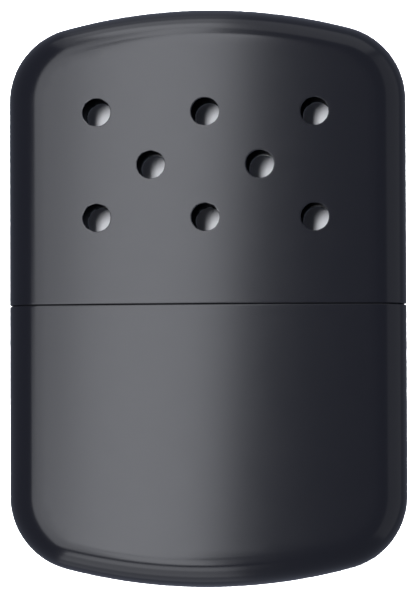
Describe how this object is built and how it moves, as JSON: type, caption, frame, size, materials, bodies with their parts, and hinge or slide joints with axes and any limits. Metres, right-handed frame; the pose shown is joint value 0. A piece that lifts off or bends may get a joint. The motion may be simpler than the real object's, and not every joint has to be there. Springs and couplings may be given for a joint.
{
  "type": "catalytic hand warmer",
  "caption": "Flat crowned pocket warmer: a vented lid that pulls off a fuel base, over a catalytic burner that pulls off the filler neck.",
  "frame": {"origin": "centre of the outline, on the surface that the back's crest rests on", "axes": "+X across the front to the right, +Y along the body from the base to the top of the lid, +Z out of the front face"},
  "size_m": [0.068, 0.0988, 0.0134],
  "materials": {
    "black_paint": "fine matte powder coat",
    "nickel_plate": "satin nickel plate on drawn brass",
    "stainless_steel": "pressed sheet, lightly heat-tinted",
    "cotton": "loose cotton wool",
    "glass_fibre": "felted glass fibre, grey with platinum"
  },
  "bodies": {
    "base": {"base_shell": "black_paint", "collar": "nickel_plate", "tank_deck": "nickel_plate", "filler_neck": "nickel_plate", "fuel_packing": "cotton"},
    "lid": {"lid_shell": "black_paint"},
    "burner": {"burner_body": "stainless_steel", "burner_gauze": "stainless_steel", "catalyst_mat": "glass_fibre", "burner_cage": "stainless_steel"}
  },
  "joints": [
    {"name": "lid_pull", "type": "slide", "parent": "base", "child": "lid", "axis": [0, 1, 0], "range_m": [0, 0.055]},
    {"name": "burner_pull", "type": "slide", "parent": "base", "child": "burner", "axis": [0, 1, 0], "range_m": [0, 0.016]}
  ]
}
